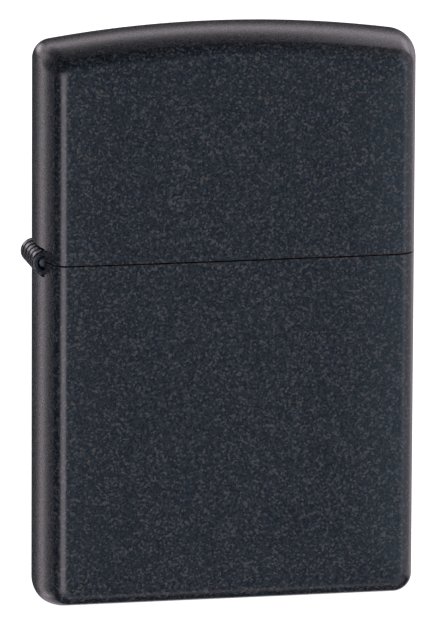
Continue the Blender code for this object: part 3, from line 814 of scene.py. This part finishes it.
def make_screw():
    """The screw that closes the flint tube, with a coin slot and a grooved edge."""
    x, low, high = WHEEL[0], SCREW_Z, SCREW_Z + SCREW_LEN
    profile = [(0, high), (1.1, high), (1.28, high - 0.18)]
    turns = 9
    for i in range(turns):
        z = high - 0.35 - i * 0.4
        profile += [(1.28, z), (1.12, z - 0.2)]
    profile += [(1.28, low + 1.1), (2.5, low + 1.1), (2.6, low + 1.0), (2.6, low + 0.25), (2.3, low), (0, low)]
    screw = turned(profile, (x, 0, 0), sides=64)
    slot = box((x - 3, x + 3), (-0.4, 0.4), (low - 1, low + 0.5))
    grooves = [box((-0.06, 0.06), (2.54, 2.8), (low - 1, low + 1.05)) for _ in range(32)]
    for i, groove in enumerate(grooves):
        turn = Matrix.Rotation(math.tau * (i + 0.5) / len(grooves), 4, "Z")
        groove.data.transform(Matrix.Translation((x, 0, 0)) @ turn)
    boolean(screw, [slot, *grooves], "DIFFERENCE")
    place(soften(screw, 0.03, 2), "tube_screw", "case", [BRASS], ["flint_screw"])


def tube_along(points, radius, sides=8):
    """A closed tube along a line of points."""
    work = bmesh.new()
    rows = []
    side = Vector((0, 0, 1))
    for before, here, after in zip(points[:1] + points, points, points[1:] + points[-1:]):
        ahead = (after - before).normalized()
        side = (side - ahead * side.dot(ahead)).normalized()
        up = ahead.cross(side)
        angles = [math.tau * i / sides for i in range(sides)]
        rows.append([work.verts.new(here + radius * (math.cos(a) * side + math.sin(a) * up)) for a in angles])
    loft(work, rows, closed=True)
    work.faces.new(rows[0])
    work.faces.new(list(reversed(rows[-1])))
    return work


def make_spring():
    low, high = (SPRING_Z[0] + SPRING_WIRE_R * 1.1, SPRING_Z[1] - SPRING_WIRE_R * 1.1)
    count = SPRING_TURNS * 28
    points = []
    for i in range(count + 1):
        angle = math.tau * i / 28
        height = low + (high - low) * i / count
        points.append(Vector((WHEEL[0] + SPRING_R * math.cos(angle), SPRING_R * math.sin(angle), height)))
    coil = solid("coil", tube_along(points, SPRING_WIRE_R, 10))
    place(coil, "flint_coil_spring", "case", [SPRING], ["flint_spring"])
    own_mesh(coil)


# Soft pieces


def make_wick():
    """Braided cotton: two sets of yarns that cross over and under, one yarn in each set of copper."""
    low, high = WICK_Z
    lap, pitch, bundles, radius = 0.12, 9.0, 6, 0.16
    parts = [(turned([(0, high - 0.3), (0.8, high - 0.4), (0.8, low + 0.3), (0, low + 0.2)], (WICK_X, 0, 0), sides=20), 0)]
    steps = int((high - low) * 4)
    for way in (-1, 1):
        for yarn_number in range(bundles * 3):
            start = math.tau * yarn_number / (bundles * 3)
            points = []
            for i in range(steps + 1):
                z = low + radius + (high - low - radius * 2) * i / steps
                turn = math.tau * (z - low) / pitch
                r = WICK_R - lap - radius + way * lap * math.cos(6 * turn)
                angle = start + way * turn
                points.append(Vector((WICK_X + r * math.cos(angle), r * math.sin(angle), z)))
            metal = 1 if yarn_number % 9 == 4 else 0
            parts.append((solid("yarn", tube_along(points, radius * (0.6 if metal else 1), 6)), metal))
    wick = join(parts, "wick_braid")
    place(wick, "wick_braid", "case", [YARN, COPPER], ["wick"], 60)


def join(parts, name):
    """Joins workbench objects into one, each with its material number."""
    work = bmesh.new()
    for obj, number in parts:
        first = len(work.faces)
        work.from_mesh(obj.data)
        work.faces.ensure_lookup_table()
        for face in work.faces[first:]:
            face.material_index = number
        bpy.data.objects.remove(obj)
    mesh = bpy.data.meshes.new(name)
    work.to_mesh(mesh)
    work.free()
    obj = bpy.data.objects.new(name, mesh)
    SCENE.collection.objects.link(obj)
    return obj


def ruffle(obj, depth, scale, seed):
    """Sinks the surface by an uneven, soft noise, never past where it was."""
    normals = [vert.normal.copy() for vert in obj.data.vertices]
    for vert, normal in zip(obj.data.vertices, normals):
        lump = noise.fractal(vert.co * scale + Vector((seed, 0, 0)), 0.8, 2.1, 4)
        vert.co -= normal * depth * min(1.0, max(0.0, 0.5 + lump))


def make_packing():
    """Cotton pieces, each a soft lump of its share of the can, creased where it is pressed in."""
    for number, (x, z) in enumerate(PACKING, 1):
        lump = box(x, (-PACKING_HALF_D, PACKING_HALF_D), z)
        smooth = lump.modifiers.new("round", "SUBSURF")
        smooth.levels = smooth.render_levels = 5
        bake(lump)
        ruffle(lump, 0.45, 0.55, number * 7.3)
        place(lump, f"packing_lump_{number}", "case", [COTTON], [f"packing_{number}"], 180)


def make_felt():
    """The felt pad that closes the can, with a hole for the screw's head and fuzzy faces."""
    half_w, half_d, corner, low, high, hole = FELT
    work = can_skin(half_w, half_d, corner, 0.25, (low, high), 0.4)
    loops = [edge for edge in work.edges if edge.is_boundary]
    bmesh.ops.contextual_create(work, geom=loops)
    pad = solid("felt", work)
    boolean(pad, [rod_z(WHEEL[0], hole + 0.1, (low - 1, high + 1), 40)], "DIFFERENCE")
    fine = pad.modifiers.new("fine", "REMESH")
    fine.mode = "VOXEL"
    fine.voxel_size = 0.22
    bake(pad)
    ruffle(pad, 0.12, 1.6, 3.0)
    place(pad, "felt_closing_pad", "case", [FELT_CLOTH], ["felt_pad"], 180)


# Camera, light and floor


def camera():
    """A long lens, left of the front and a little above it."""
    azimuth, elevation, distance, roll = -11.67, 12.44, 1.04, 0.0051
    a, e = math.radians(azimuth), math.radians(elevation)
    back = Vector((math.sin(a) * math.cos(e), -math.cos(a) * math.cos(e), math.sin(e)))
    turn = (-back).to_track_quat("-Z", "Y") @ Quaternion((0, 0, 1), roll)
    data = bpy.data.cameras.new("camera")
    data.sensor_width = 36.0
    data.lens = 36.0 * distance / 0.06095
    cam = bpy.data.objects.new("camera", data)
    SCENE.collection.objects.link(cam)
    aim = Vector((0, 0, 0.02823)) + turn @ Vector((-0.00021, -0.00022, 0))
    cam.location = aim + back * distance
    cam.rotation_mode = "QUATERNION"
    cam.rotation_quaternion = turn
    SCENE.camera = cam


def softbox(name, azimuth, elevation, width, height, radiance, colour=(1, 1, 1), distance=2.0):
    """An area light facing the lighter, sized in degrees as seen from it."""
    a, e = math.radians(azimuth), math.radians(elevation)
    back = Vector((math.sin(a) * math.cos(e), -math.cos(a) * math.cos(e), math.sin(e)))
    data = bpy.data.lights.new(name, "AREA")
    data.shape = "RECTANGLE"
    data.size = 2 * distance * math.tan(math.radians(width / 2))
    data.size_y = 2 * distance * math.tan(math.radians(height / 2))
    data.energy = radiance * math.pi * data.size * data.size_y
    data.color = colour
    lamp = bpy.data.objects.new(name, data)
    lamp.location = Vector((0, 0, 0.03)) + back * distance
    lamp.rotation_mode = "QUATERNION"
    lamp.rotation_quaternion = (-back).to_track_quat("-Z", "Y")
    lamp.visible_camera = False
    SCENE.collection.objects.link(lamp)


def studio():
    SCENE.view_settings.view_transform = "Standard"
    mauve = (1.0, 0.9, 0.98)
    blue = (0.72, 0.88, 1.08)
    softbox("rim_left", -147, -3, 8, 62, 2.2, mauve)
    softbox("rim_top", 163, 29, 74, 11, 1.8, mauve)
    softbox("side_right", 92, 20, 110, 90, 0.95, mauve)
    softbox("near_left", -36, -10, 36, 50, 3.3, mauve)
    softbox("front", 13, -5, 20, 50, 0.12, blue)
    softbox("front_left", -10, -5, 22, 50, 0.7, blue)
    softbox("front_right", 35, -5, 28, 50, 1.2, blue)
    softbox("below", 18, -52, 90, 26, 0.85, mauve)
    softbox("back", -166, 9, 16, 10, 2.4, mauve)
    softbox("low_back", 180, -34, 60, 16, 0.8, mauve)
    softbox("far_side", 152, -12, 22, 40, 0.4, mauve)
    world = bpy.data.worlds.new("studio")
    SCENE.world = world
    world.use_nodes = True
    n = Nodes(world.node_tree)
    shade = n("ShaderNodeBackground", Color=rgb(0.9, 0.95, 1.0), Strength=0.05)
    n("ShaderNodeOutputWorld", Surface=shade.outputs[0])
    work = bmesh.new()
    bmesh.ops.create_grid(work, x_segments=2, y_segments=2, size=2500)
    ground = solid("floor", work)
    ground.data.transform(Matrix.Scale(MM, 4))
    ground.data.materials.append(material("floor_paper", floor_paper))
    ground.visible_glossy = False
    ground.visible_diffuse = False
    ground.visible_shadow = False


COAT = material("powder_coat", coat)
BRASS = material("bare_brass", brass)
RIM = material("worn_rim", worn_rim)
STAINLESS = material("brushed_stainless", stainless)
SPRING = material("spring_steel_sheet", spring_steel)
BLUED = material("blued_steel", blued_steel)
HARD = material("hardened_steel", hard_steel)
FLINT = material("flint_rod_alloy", flint_alloy)
YARN = material("wick_yarn", yarn)
COPPER = material("wick_copper", copper)
COTTON = material("cotton_lint", cotton)
FELT_CLOTH = material("pressed_felt", felt)
camera()
studio()
case = half_shell("case", case_outline)
place(case, "case_body", "case", [], ["case_shell"])
lid = half_shell("lid", lid_outline)
place(lid, "lid_body", "lid", [], ["lid_shell"])
make_hinge()
make_can()
make_chimney()
make_wheel()
make_cam()
make_flint_gear()
make_wick()
make_packing()
make_felt()
